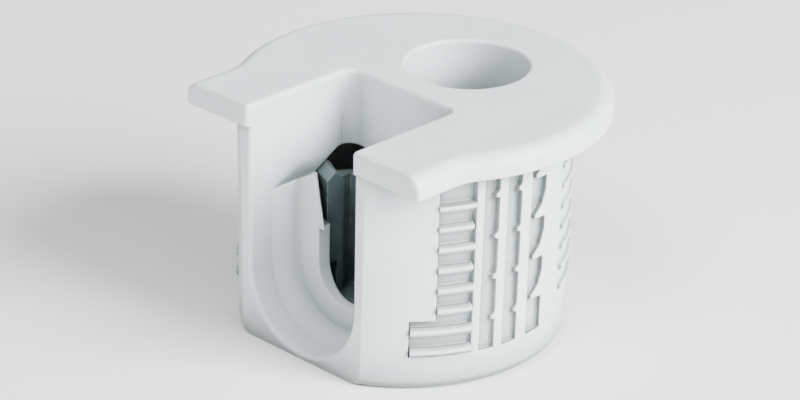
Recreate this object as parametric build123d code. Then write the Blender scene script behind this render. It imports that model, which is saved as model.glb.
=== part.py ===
from build123d import *
import os
from math import asin, cos, degrees, radians, sin

os.makedirs("parts", exist_ok=True)

# Panel connector housing for a 20 mm blind hole, with its rotating cam. Millimetres, +Z up.
# Both pieces are drawn about the barrel's axis, with z = 0 on the underside of the flange,
# and the flat front, where the connecting bolt comes in, faces -Y. At the end they are moved
# so that the origin is at the centre of the U-shaped seat for the bolt's neck.

# flange
flange_t = 1.4
flange_r = 11.5
flange_centre_y = 1.35
ear_half = 9.7
ear_front_y = -8.75
ear_neck_round = 3.0
rim_round = 0.95
front_round = 0.3

# barrel
hole_r = 10.0
barrel_r_top = 9.96
barrel_r_bottom = 9.84
barrel_depth = 13.65
front_y = -8.5
bottom_round = 0.55
root_h = 0.2
root_reach = 0.2

# bolt slot, narrowing at its back to a seat for the bolt's neck
bolt_z = -9.0
slot_half = 4.35
slot_back_y = -0.24
slot_corner_r = 0.8
slot_edge_round = 0.3
mouth_round = 0.25
mouth_z = -8.93
flat_tol = 0.02
shoulder_z = -4.6
crest_half = 2.55
crest_z = -3.5
taper_start_y = -6.7
seat_half = 3.78
seat_y = -5.2
cone_y = -4.83
neck_r = 2.27
neck_z = -9.2
seat_mid_y = -4.5
lip_half = 1.78
lip_z = -7.05
throat_half = 2.55
throat_flare = 1.1

# cam chamber, open at the barrel's lower end
pivot_y = 5.3
bore_r = 3.73
bore_round = 0.22
chamber_r = 8.75
chamber_front_r = 9.5
ceiling_z = -3.42
ceiling_r = 7.85
ceiling_edge_z = -4.5
lip_t = 0.4
lip_reach = 0.35
front_lip_half = 2.2

# barbs that grip the hole, and ribs between sunk panels on both flanks
crest_r = 10.1
row_first_z = -1.9
row_pitch = 1.315
row_count = 8
long_rows = (6, 7)
sunk = 0.28
rows_y = (-5.52, -3.55)
long_rows_y = -6.75
panels_y = ((-3.1, -2.1), (-1.55, -0.45), (0.35, 1.75))
panel_end_z = -11.5
rib_half_y = (-3.55, 3.75)
nub_lift = (0.33, 0.33, 0.62)
nub_rise = (0.42, 0.42, 1.5)
nub_reach = (0.24, 0.24, 1.0)
nub_hollow = (0.35, 0.42)
nub_under = 0.08
row_end_gap = 0.12
back_start = 24.0
barb_top = 0.12
barb_land = 0.2
barb_under = 0.62
root = 0.5

# cam
cam_gap = 0.1
journal_gap = 0.06
hub_top_z = -2.6
hub_r = 6.3
cam_bottom_z = -barrel_depth + lip_t + cam_gap
cam_top_z = ceiling_z - cam_gap
claw_r = chamber_front_r - 0.15
claw_in_r = 8.08
claw_half_angle = 33.0
claw_in_z = -5.0
claw_top = ((claw_r, -4.53), (8.75, -4.14), (8.4, -4.34), (8.2, -4.62), (claw_in_r, claw_in_z))
head_half = 3.5
head_back_y = -1.0
cavity_floor_z = -12.3
mouth_half = 2.8
wing_low_z = -10.1
wing_edge = 0.1
hook_out_r = 8.25
hook_in_r = 6.3
hook_top_z = -5.7
hook_angle = 29.0
pull_shift = 0.6
fork_half = 2.55
fork_end_angle = 31.0
drive_len = 5.2
drive_w = 1.15
drive_depth = 2.0
drive_core_r = 1.35

over = 2.0
top = flange_t + over
low = -barrel_depth - over


def disc(radius, x, y, z_low, z_high):
    return Pos(x, y, (z_low + z_high) / 2) * Cylinder(radius, z_high - z_low)


def block(x0, x1, y0, y1, z0, z1):
    return Pos((x0 + x1) / 2, (y0 + y1) / 2, (z0 + z1) / 2) * Box(x1 - x0, y1 - y0, z1 - z0)


def turned(points):
    # a ring turned about the Z axis from an outline of (radius, z) points
    return revolve(Plane.XZ * make_face(Polyline(*points, close=True)), Axis.Z)


def wedge(a0, a1, z_low, z_high):
    # angles are turned about the pivot from the -Y direction towards +X
    reach = chamber_front_r * 2
    points = [(0, pivot_y)]
    for a in (a0, (a0 + a1) / 2, a1):
        points.append((reach * sin(radians(a)), pivot_y - reach * cos(radians(a))))
    return Pos(0, 0, z_low) * extrude(make_face(Polyline(*points, close=True)), z_high - z_low)


def upright(half_width, centre_z, radius, y, top_z):
    # a U outline standing in the plane of constant y
    low_part = Pos(0, centre_z) * Circle(radius)
    tall = Pos(0, (centre_z + top_z) / 2) * Rectangle(2 * half_width, top_z - centre_z)
    plane = Plane(origin=(0, y, 0), x_dir=(1, 0, 0), z_dir=(0, -1, 0))
    return plane * (low_part + tall)


def standing(points, y):
    # an outline of (x, z) points standing in the plane of constant y
    plane = Plane(origin=(0, y, 0), x_dir=(1, 0, 0), z_dir=(0, -1, 0))
    return plane * make_face(Polyline(*points, close=True))


def barb(z, a0, a1):
    base = barrel_r_bottom - root
    outline = Polyline(
        (base, z + barb_top + barb_land / 2),
        (crest_r - sunk, z + barb_top + barb_land / 2),
        (crest_r, z + barb_land / 2),
        (crest_r, z - barb_land / 2),
        (barrel_r_bottom - sunk, z - barb_under),
        (base, z - barb_under),
        close=True,
    )
    face = Plane.XZ * make_face(outline)
    return Rot(0, 0, a0) * revolve(face, Axis.Z, a1 - a0)


def angle_at(y):
    # the angle from +X at which the barrel's skin reaches this y
    return degrees(asin(y / barrel_r_top))


def rib_skin():
    # ribs stand proud of the barrel at the flange and run out into it at their lower end
    skin_r = barrel_r_top - (barrel_r_top - barrel_r_bottom) * panel_end_z / -barrel_depth
    return turned([(0, 0), (crest_r, 0), (skin_r, panel_end_z), (0, panel_end_z)])


def both_sides(shape):
    return [shape, mirror(shape, about=Plane.YZ)]


def nub(y, z, rise, reach):
    # a small fin that leans out of a rib's edge
    fin = make_face(Polyline(
        (y, z + rise),
        (y - reach * nub_hollow[0], z + rise * nub_hollow[1]),
        (y - reach, z + barb_land / 2),
        (y - reach, z - barb_land / 2),
        (y, z - barb_land / 2 - nub_under),
        (y + root, z),
        close=True,
    ))
    return extrude(Plane.YZ * fin, crest_r)


# ---- housing: flange ----
rim = Pos(0, flange_centre_y) * Circle(flange_r)
rim = rim & Pos(0, ear_front_y + hole_r * 2) * Rectangle(hole_r * 4, hole_r * 4)
ear_back_y = flange_centre_y - (flange_r ** 2 - ear_half ** 2) ** 0.5
ears = Pos(0, (ear_front_y + ear_back_y) / 2) * Rectangle(ear_half * 2, ear_back_y - ear_front_y)
plan = rim + ears
necks = [v for v in plan.vertices() if abs(v.Y - ear_back_y) < rim_round]
plan = fillet(necks, ear_neck_round)
flange = extrude(plan, flange_t)
rim_edges = [e for e in flange.edges().group_by(Axis.Z)[-1] if e.center().Y > ear_front_y + over * root]
flange = fillet(rim_edges, rim_round)
front_edges = flange.faces().sort_by(Axis.Y)[0].edges().filter_by(lambda e: e.center().Z > root)
flange = fillet(front_edges, front_round)
flange = flange - disc(bore_r, 0, pivot_y, low, top)
circles = flange.edges().filter_by(GeomType.CIRCLE).filter_by(lambda e: abs(e.radius - bore_r) < flat_tol)
flange = fillet(circles.sort_by(Axis.Z)[-1], bore_round)
print("flange ready", round(flange.volume, 1))

# ---- housing: barrel ----
barrel = Pos(0, 0, -barrel_depth / 2) * Cone(barrel_r_bottom, barrel_r_top, barrel_depth)
barrel = fillet(barrel.edges().group_by(Axis.Z)[0], bottom_round)
barrel = barrel + turned([(0, 0), (barrel_r_top + root_reach, 0), (barrel_r_top, -root_h), (0, -root_h)])

panel_floor = turned([
    (0, over), (barrel_r_top - sunk, over), (barrel_r_bottom - sunk, low), (0, low)])
rib_band = block(0, hole_r * 2, rib_half_y[0], rib_half_y[1], panel_end_z, 0) & rib_skin()
windows = [
    block(0, hole_r * 2, rows_y[0], rows_y[1], panel_end_z, -root_h),
    block(0, hole_r * 2, long_rows_y, rows_y[1], panel_end_z, row_first_z - 5.5 * row_pitch),
]
for y0, y1 in panels_y:
    windows.append(block(0, hole_r * 2, y0, y1, panel_end_z, -root_h))
sunken = windows[0]
for window in windows[1:]:
    sunken = sunken + window
sunken = sunken - panel_floor

nubs = []
for row in range(0, row_count, 2):
    z = row_first_z - row * row_pitch
    for (y0, y1), lift, rise, reach in zip(panels_y, nub_lift, nub_rise, nub_reach):
        nubs.append(nub(y1, z + lift, rise, reach))
nub_band = nubs[0]
for fin in nubs[1:]:
    nub_band = nub_band + fin
nub_band = (nub_band & rib_skin()) - disc(barrel_r_bottom - root, 0, 0, low, top)

barrel = barrel + both_sides(rib_band)
barrel = barrel - both_sides(sunken)
barrel = barrel + both_sides(nub_band)

teeth = []
for row in range(row_count):
    z = row_first_z - row * row_pitch
    start = angle_at(long_rows_y if row in long_rows else rows_y[0])
    stop = angle_at(rows_y[1] if row % 2 == 0 else rows_y[1] - row_end_gap)
    for a0, a1 in ((start, stop), (180 - stop, 180 - start)):
        teeth.append(barb(z, a0, a1))
    if row < row_count - 1:
        teeth.append(barb(z, back_start, 180 - back_start))
barrel = barrel + teeth
barrel = barrel - block(-hole_r * 2, hole_r * 2, -hole_r * 2, front_y, low, over)
housing = flange + barrel
print("barrel ready", len(housing.solids()), round(housing.volume, 1))

# ---- housing: bolt slot ----
slot = extrude(standing([
    (-slot_half, top),
    (-slot_half, shoulder_z),
    (-crest_half, crest_z),
    (crest_half, crest_z),
    (slot_half, shoulder_z),
    (slot_half, top),
], slot_back_y), hole_r * 2)
back_edges = slot.edges().filter_by(Axis.Z).group_by(Axis.Y)[-1]
slot = fillet(back_edges, slot_corner_r)
mouth = extrude(upright(slot_half, mouth_z, slot_half, taper_start_y, top), hole_r)
taper = loft([
    upright(slot_half, mouth_z, slot_half, taper_start_y, crest_z + over),
    upright(seat_half, bolt_z, seat_half, seat_y, crest_z + over),
])
cone = loft([
    upright(seat_half, bolt_z, seat_half, seat_y, crest_z + over),
    upright(neck_r, neck_z, neck_r, cone_y, crest_z + over),
])
neck_hole = extrude(upright(neck_r, neck_z, neck_r, cone_y + over, lip_z), over * 2)


def throat_outline(y):
    wider = throat_flare * (y - cone_y)
    rise = (throat_half - lip_half) / (crest_z - lip_z) * over
    return standing([
        (-lip_half - wider, lip_z),
        (-throat_half - wider - rise, crest_z + over),
        (throat_half + wider + rise, crest_z + over),
        (lip_half + wider, lip_z),
    ], y)


throat = loft([throat_outline(cone_y - root), throat_outline(cone_y + over * 2)])
throat = throat & block(-slot_half, slot_half, -hole_r, slot_back_y, lip_z, top)


def on_mouth(c):
    # where the slot breaks out through the barrel's flat front
    inside = abs(c.X) < slot_half + flat_tol and -barrel_depth + flat_tol < c.Z < -root
    return abs(c.Y - front_y) < flat_tol and inside


def on_slot_top(c):
    inside = abs(c.X) < slot_half + flat_tol and ear_front_y + rim_round < c.Y < slot_back_y + flat_tol
    return abs(c.Z - flange_t) < flat_tol and inside


# ---- housing: cam chamber ----
chamber = turned([
    (0, ceiling_z), (ceiling_r, ceiling_z), (chamber_front_r, ceiling_edge_z),
    (chamber_front_r, low), (0, low)])
chamber = (Pos(0, pivot_y) * chamber) & disc(chamber_r, 0, 0, low, ceiling_z)
bore = disc(bore_r, 0, pivot_y, low, top)
back_lip = disc(bore_r + root, 0, pivot_y, -barrel_depth, -barrel_depth + lip_t)
back_lip = back_lip - disc(bore_r - lip_reach, 0, pivot_y, low, top)
back_lip = back_lip & disc(chamber_r + root, 0, 0, low, top)
back_lip = back_lip - disc(chamber_r - lip_reach * 3, 0, 0, low, top)
front_lip = block(-front_lip_half, front_lip_half, cone_y, pivot_y - chamber_front_r + 2 * lip_reach,
                  -barrel_depth, -barrel_depth + lip_t)

for tool in (slot, mouth, taper):
    housing = housing - tool
mouth_edges = [e for e in housing.edges() if on_mouth(e.center())]
housing = fillet(mouth_edges, mouth_round)
top_edges = [e for e in housing.edges() if on_slot_top(e.center())]
housing = fillet(top_edges, slot_edge_round)
for tool in (cone, neck_hole, throat):
    housing = housing - tool
housing = housing - chamber - bore
housing = housing + back_lip + front_lip
housing = housing & disc(hole_r * 2, 0, 0, -barrel_depth, flange_t)
print("housing solids", len(housing.solids()), "volume", round(housing.volume, 1))


def on_wing(c):
    # the lower edge of the left wing's end, beside the mouth
    return abs(c.Z - wing_low_z) < flat_tol and abs(c.X + mouth_half) < flat_tol


# ---- cam ----
hub = disc(bore_r - journal_gap, 0, pivot_y, cam_bottom_z, hub_top_z)
claw = turned([
    (0, cam_bottom_z),
    (claw_r, cam_bottom_z),
    *claw_top,
    (hub_r, claw_in_z),
    (hub_r, cam_top_z),
    (0, cam_top_z),
])
claw = (Pos(0, pivot_y) * claw) & wedge(-claw_half_angle, claw_half_angle, low, top)
cam = hub + claw
cavity = disc(claw_in_r, 0, pivot_y, cavity_floor_z, top)
cavity = cavity & block(-head_half, head_half, -hole_r, head_back_y, cavity_floor_z, top)
cam = cam - cavity
cam = cam - block(-mouth_half, mouth_half, -hole_r * 2, head_back_y, cavity_floor_z, top)
cam = cam - block(-hole_r, -mouth_half + cam_gap, -hole_r, pivot_y - claw_in_r, cavity_floor_z, wing_low_z)
wing_edges = [e for e in cam.edges() if on_wing(e.center())]
cam = chamfer(wing_edges, wing_edge)
groove = disc(hook_out_r, -pull_shift, pivot_y, cavity_floor_z, hook_top_z)
groove = groove - disc(hook_in_r, 0, pivot_y, low, top)
groove = groove & wedge(0, hook_angle, low, top)
cam = cam - groove
fork = disc(claw_r + over, 0, pivot_y, bolt_z - fork_half, bolt_z + fork_half)
fork = fork & wedge(0, fork_end_angle, low, top)
fork = fork - disc(hook_in_r, 0, pivot_y, low, top)
cam = cam - fork
cross = Box(drive_len, drive_w, drive_depth * 2) + Box(drive_w, drive_len, drive_depth * 2)
cross = cross + Cylinder(drive_core_r, drive_depth * 2)
cam = cam - Pos(0, pivot_y, hub_top_z) * cross
print("cam solids", len(cam.solids()), "volume", round(cam.volume, 1))

to_seat = Pos(0, -seat_mid_y, -neck_z)
housing = to_seat * housing
cam = to_seat * cam
housing.label = "housing"
cam.label = "cam"
export_step(housing, "parts/housing.step")
export_step(cam, "parts/cam.step")
both = housing & cam
print("overlap", 0 if both is None else both.volume)
for piece in ([] if both is None else both.solids()):
    print("  at", piece.bounding_box())
print("housing box", housing.bounding_box())
print("cam box", cam.bounding_box())
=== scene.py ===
import bpy
from math import cos, radians, sin
from mathutils import Matrix, Vector


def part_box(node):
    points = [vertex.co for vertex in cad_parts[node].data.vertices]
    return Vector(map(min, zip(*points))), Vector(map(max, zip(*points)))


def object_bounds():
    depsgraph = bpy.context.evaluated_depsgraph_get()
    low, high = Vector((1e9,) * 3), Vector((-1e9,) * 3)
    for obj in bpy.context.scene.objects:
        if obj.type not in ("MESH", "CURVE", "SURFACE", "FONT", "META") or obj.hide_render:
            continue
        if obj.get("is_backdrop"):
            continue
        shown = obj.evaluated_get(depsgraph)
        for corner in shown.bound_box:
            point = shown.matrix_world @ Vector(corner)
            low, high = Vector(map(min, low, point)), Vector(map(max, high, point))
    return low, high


MM = 0.001
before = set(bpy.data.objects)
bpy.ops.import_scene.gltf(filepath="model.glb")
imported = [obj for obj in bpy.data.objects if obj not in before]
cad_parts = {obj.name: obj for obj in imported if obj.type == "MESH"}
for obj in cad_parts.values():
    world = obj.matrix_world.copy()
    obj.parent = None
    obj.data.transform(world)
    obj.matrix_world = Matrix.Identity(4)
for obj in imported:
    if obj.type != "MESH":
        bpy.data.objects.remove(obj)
first_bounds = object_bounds()

# the barrel's upright axis is at x = 0 and at this y
BARREL_AXIS_Y = 4.5 * MM

# camera, in front of the part and to its right, turned towards a point on the barrel's axis
AZIMUTH = 44.305
ELEVATION = 25.016
ROLL = 1.068
DISTANCE = 218.5 * MM
TARGET = Vector((0, BARREL_AXIS_Y, 3.7 * MM))
LENS = 164.0
SHIFT = (-0.0043, -0.0087)
SENSOR = 36
CLIP_START = 5 * MM

# In the looks, CLOUD, WEAR, GRAIN, FLOW and PITS are noises in cells per metre, and the plastic's
# noise for its edges breaks up a painted highlight. A BAND, TURN,
# OPEN or FACING is the pair of values that a mask fades between, and a ROUGH or SHARE is the
# pair of values that comes out.

# looks of the moulded plastic
PLASTIC_LIGHT = (0.725, 0.785, 0.805)
PLASTIC_DARK = (0.685, 0.75, 0.77)
# painted shade, the dark colour that pockets and creases fade to
PLASTIC_PAINTED_SHADE = (0.19, 0.23, 0.225)
# painted highlight, the lighter colour on the plastic's edges
PLASTIC_EDGE_HIGHLIGHT = (0.83, 0.86, 0.87)
# painted shade for the floors of the barrel's sunk panels
PLASTIC_SUNK_PAINTED_SHADE = (0.50, 0.56, 0.565)
PLASTIC_ROUGH = (0.36, 0.48)
PLASTIC_ROUGH_BAND = (0.3, 0.7)
PLASTIC_IOR = 1.48
PLASTIC_SUBSURFACE = 0.12
PLASTIC_SCATTER = 0.5 * MM
PLASTIC_EDGE_RADIUS = 0.16 * MM
PLASTIC_EDGE_TURN = (0.985, 0.80)
PLASTIC_CLOUD = 260
PLASTIC_CLOUD_BAND = (0.35, 0.65)
# noise that breaks up the painted highlight on the plastic's edges
PLASTIC_HIGHLIGHT_NOISE = 1400
PLASTIC_HIGHLIGHT_NOISE_BAND = (0.4, 0.6)
PLASTIC_HIGHLIGHT_NOISE_SHARE = (0.35, 1)
GRAIN = 5500
GRAIN_DEPTH = 0.006 * MM
FLOW = 170
FLOW_DEPTH = 0.30 * MM

# how far the two masks that paint shade into the plastic's pockets and creases look for other faces
POCKET_REACH = 3.8 * MM
POCKET_OPEN = (0.38, 0.92)
CREASE_REACH = 0.9 * MM
CREASE_OPEN = (0.35, 0.97)

# distances from the barrel's axis that the sunk panels' floors lie between, where a darker colour
# is painted as shade
SUNK_INNER_BAND = (9.25 * MM, 9.35 * MM)
SUNK_OUTER_BAND = (9.74 * MM, 9.80 * MM)
SUNK_FACING = (0.90, 0.97)

# looks of the cast cam
CAST_LIGHT = (0.135, 0.176, 0.182)
CAST_DARK = (0.088, 0.120, 0.125)
CAST_BARE = (0.42, 0.45, 0.44)
CAST_ROUGH = (0.34, 0.5)
CAST_METALLIC = 0.25
CAST_EDGE_RADIUS = 0.12 * MM
CAST_EDGE_TURN = (0.97, 0.78)
CAST_CLOUD = 420
CAST_CLOUD_BAND = (0.35, 0.65)
CAST_WEAR = 1900
CAST_WEAR_BAND = (0.42, 0.62)
CAST_WEAR_SHARE = (0.15, 0.9)
PITS = 3600
PITS_BAND = (0.35, 0.65)
PITS_DEPTH = 0.008 * MM

# floor and light
FLOOR_SIZE = 3
FLOOR_COLOUR = (0.93, 0.93, 0.93, 1)
FLOOR_ROUGH = 0.85
SKY_COLOUR = (0.90, 0.97, 1, 1)
SKY_STRENGTH = 0.10
LAMP_DISTANCE = 0.4


def plain(value):
    return [plain(v) for v in value] if hasattr(value, "__len__") else float(value)


def away_from(azimuth, elevation):
    # unit vector from the part outwards, with azimuth 0 to its front and 90 to its right
    turn = radians(azimuth)
    lift = radians(elevation)
    return Vector((sin(turn) * cos(lift), -cos(turn) * cos(lift), sin(lift)))


class Look:
    """A principled material whose nodes are made by short calls."""

    def __init__(self, name):
        self.material = bpy.data.materials.new(name)
        self.material.use_nodes = True
        self.tree = self.material.node_tree
        self.shader = self.tree.nodes["Principled BSDF"]
        self.place = self.node("ShaderNodeTexCoord").outputs["Object"]

    def node(self, kind, **settings):
        made = self.tree.nodes.new(kind)
        for key, value in settings.items():
            setattr(made, key, value)
        return made

    def join(self, source, target):
        self.tree.links.new(source, target)

    def noise(self, scale, detail, rough=0.5):
        made = self.node("ShaderNodeTexNoise")
        made.inputs["Scale"].default_value = scale
        made.inputs["Detail"].default_value = detail
        made.inputs["Roughness"].default_value = rough
        self.join(self.place, made.inputs["Vector"])
        return made.outputs["Fac"]

    def remap(self, value, band, share=(0, 1)):
        # the band's first value becomes the share's first, and its second the share's second
        made = self.node("ShaderNodeMapRange")
        for key, number in zip(("From Min", "From Max", "To Min", "To Max"), (*band, *share)):
            made.inputs[key].default_value = number
        self.join(value, made.inputs["Value"])
        return made.outputs["Result"]

    def times(self, one, two):
        made = self.node("ShaderNodeMath", operation="MULTIPLY")
        self.join(one, made.inputs[0])
        self.join(two, made.inputs[1])
        return made.outputs["Value"]

    def mix(self, factor, one, two):
        # factor 0 gives colour one, 1 gives colour two
        made = self.node("ShaderNodeMix", data_type="RGBA")
        self.join(factor, made.inputs["Factor"])
        colour_sockets = [s for s in made.inputs if s.type == "RGBA"]
        for socket, colour in zip(colour_sockets, (one, two)):
            if isinstance(colour, tuple):
                socket.default_value = (*colour, 1)
            else:
                self.join(colour, socket)
        return [s for s in made.outputs if s.type == "RGBA"][0]

    def vector(self, operation, one, two=None):
        # two is a tuple, an output of another node, or nothing
        made = self.node("ShaderNodeVectorMath", operation=operation)
        self.join(one, made.inputs[0])
        if isinstance(two, tuple):
            made.inputs[1].default_value = two
        elif two is not None:
            self.join(two, made.inputs[1])
        return made.outputs["Value" if operation in ("LENGTH", "DOT_PRODUCT") else "Vector"]

    def edges(self, radius, turn):
        # the normal rounded off at edges, and a mask: 0 on flat faces, 1 on edges
        bevel = self.node("ShaderNodeBevel", samples=6)
        bevel.inputs["Radius"].default_value = radius
        soft = bevel.outputs["Normal"]
        sharp = self.node("ShaderNodeNewGeometry").outputs["Normal"]
        return soft, self.remap(self.vector("DOT_PRODUCT", soft, sharp), turn)

    def hollows(self, distance):
        # 1 in the open, falling towards 0 in a crease or a pocket
        made = self.node("ShaderNodeAmbientOcclusion", samples=8)
        made.inputs["Distance"].default_value = distance
        return made.outputs["AO"]

    def sunk(self):
        # 1 on the floors of the barrel's sunk panels, where shade is painted, 0 on its skin and on
        # flat faces
        outward = self.vector("SUBTRACT", self.place, (0, BARREL_AXIS_Y, 0))
        outward = self.vector("MULTIPLY", outward, (1, 1, 0))
        radius = self.vector("LENGTH", outward)
        beyond_inner = self.remap(radius, SUNK_INNER_BAND)
        within_outer = self.remap(radius, SUNK_OUTER_BAND, (1, 0))
        normal = self.node("ShaderNodeNewGeometry").outputs["Normal"]
        facing = self.vector("DOT_PRODUCT", self.vector("NORMALIZE", outward), normal)
        return self.times(self.times(beyond_inner, within_outer), self.remap(facing, SUNK_FACING))

    def bumps(self, normal, *layers):
        for height, depth in layers:
            made = self.node("ShaderNodeBump")
            made.inputs["Strength"].default_value = 1.0
            made.inputs["Distance"].default_value = depth
            self.join(height, made.inputs["Height"])
            self.join(normal, made.inputs["Normal"])
            normal = made.outputs["Normal"]
        self.join(normal, self.shader.inputs["Normal"])


def moulded_plastic():
    look = Look("white_plastic_look")
    cloud = look.noise(PLASTIC_CLOUD, detail=3.0)
    soft, edge = look.edges(PLASTIC_EDGE_RADIUS, PLASTIC_EDGE_TURN)
    colour = look.mix(look.remap(cloud, PLASTIC_CLOUD_BAND), PLASTIC_LIGHT, PLASTIC_DARK)
    # painted shade: the floors of the sunk panels get a darker colour that stands in for the shade
    # in these recesses
    colour = look.mix(look.sunk(), colour, PLASTIC_SUNK_PAINTED_SHADE)
    # painted shade: pockets and creases fade to a dark colour that stands in for the shade that
    # falls in them
    unshaded_by_pockets = look.remap(look.hollows(POCKET_REACH), POCKET_OPEN)
    unshaded_by_creases = look.remap(look.hollows(CREASE_REACH), CREASE_OPEN)
    colour = look.mix(look.times(unshaded_by_pockets, unshaded_by_creases), PLASTIC_PAINTED_SHADE, colour)
    # painted highlight: edges get a lighter colour, broken up by noise, that stands in for light
    # caught on rounded edges
    wear_and_highlight_noise = look.remap(look.noise(PLASTIC_HIGHLIGHT_NOISE, detail=3.0), PLASTIC_HIGHLIGHT_NOISE_BAND, PLASTIC_HIGHLIGHT_NOISE_SHARE)
    colour = look.mix(look.times(edge, wear_and_highlight_noise), colour, PLASTIC_EDGE_HIGHLIGHT)
    look.join(colour, look.shader.inputs["Base Color"])
    look.join(look.remap(cloud, PLASTIC_ROUGH_BAND, PLASTIC_ROUGH), look.shader.inputs["Roughness"])
    look.shader.inputs["IOR"].default_value = PLASTIC_IOR
    look.shader.inputs["Subsurface Weight"].default_value = PLASTIC_SUBSURFACE
    look.shader.inputs["Subsurface Scale"].default_value = PLASTIC_SCATTER
    flow = look.noise(FLOW, detail=1.5)
    grain = look.noise(GRAIN, detail=2.0)
    look.bumps(soft, (flow, FLOW_DEPTH), (grain, GRAIN_DEPTH))
    return look.material


def dark_casting():
    look = Look("dark_zinc_look")
    cloud = look.noise(CAST_CLOUD, detail=4.0)
    pits = look.noise(PITS, detail=3.0, rough=0.6)
    soft, edge = look.edges(CAST_EDGE_RADIUS, CAST_EDGE_TURN)
    colour = look.mix(look.remap(cloud, CAST_CLOUD_BAND), CAST_LIGHT, CAST_DARK)
    wear_and_highlight_noise = look.remap(look.noise(CAST_WEAR, detail=3.0), CAST_WEAR_BAND, CAST_WEAR_SHARE)
    colour = look.mix(look.times(edge, wear_and_highlight_noise), colour, CAST_BARE)
    look.join(colour, look.shader.inputs["Base Color"])
    look.join(look.remap(pits, PITS_BAND, CAST_ROUGH), look.shader.inputs["Roughness"])
    look.shader.inputs["Metallic"].default_value = CAST_METALLIC
    look.bumps(soft, (pits, PITS_DEPTH))
    return look.material


def dress(name, material):
    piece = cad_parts[name]
    piece.data.materials.clear()
    piece.data.materials.append(material)


dress("housing", moulded_plastic())
dress("cam", dark_casting())

# floor, level with the housing's underside
floor_look = bpy.data.materials.new("floor_look")
floor_look.use_nodes = True
floor_shader = floor_look.node_tree.nodes["Principled BSDF"]
floor_shader.inputs["Base Color"].default_value = FLOOR_COLOUR
floor_shader.inputs["Roughness"].default_value = FLOOR_ROUGH
bpy.ops.mesh.primitive_plane_add(size=FLOOR_SIZE, location=(0, 0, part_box("housing")[0][2]))
floor = bpy.context.object
floor.name = "floor"
floor.data.materials.append(floor_look)
floor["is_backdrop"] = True

# light
world = bpy.data.worlds.new("studio")
bpy.context.scene.world = world
world.use_nodes = True
sky = world.node_tree.nodes["Background"]
sky.inputs["Color"].default_value = SKY_COLOUR
sky.inputs["Strength"].default_value = SKY_STRENGTH


def lamp(name, azimuth, elevation, size, power):
    # a disc lamp that faces the part
    away = away_from(azimuth, elevation)
    data = bpy.data.lights.new(name, "AREA")
    data.shape = "DISK"
    data.size = size
    data.energy = power
    holder = bpy.data.objects.new(name, data)
    holder.location = TARGET + away * LAMP_DISTANCE
    holder.rotation_euler = away.to_track_quat("Z", "Y").to_euler()
    bpy.context.scene.collection.objects.link(holder)


lamp("key", azimuth=106, elevation=31, size=0.24, power=6.2)
lamp("side", azimuth=72, elevation=20, size=0.16, power=0.6)
lamp("front_top", azimuth=8, elevation=60, size=0.20, power=1.4)

# camera, whose level right and up directions are turned by the roll
back = away_from(AZIMUTH, ELEVATION)
level = Vector((cos(radians(AZIMUTH)), sin(radians(AZIMUTH)), 0))
rise = back.cross(level)
right = level * cos(radians(ROLL)) + rise * sin(radians(ROLL))
up = rise * cos(radians(ROLL)) - level * sin(radians(ROLL))
turned = Matrix((right, up, back)).transposed().to_4x4()
lens = bpy.data.cameras.new("camera")
lens.lens = LENS
lens.sensor_width = SENSOR
lens.shift_x = SHIFT[0]
lens.shift_y = SHIFT[1]
lens.clip_start = CLIP_START
eye = bpy.data.objects.new("camera", lens)
eye.matrix_world = Matrix.Translation(TARGET + back * DISTANCE) @ turned
bpy.context.scene.collection.objects.link(eye)
bpy.context.scene.camera = eye

{"first": plain(first_bounds), "last": plain(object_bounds())}
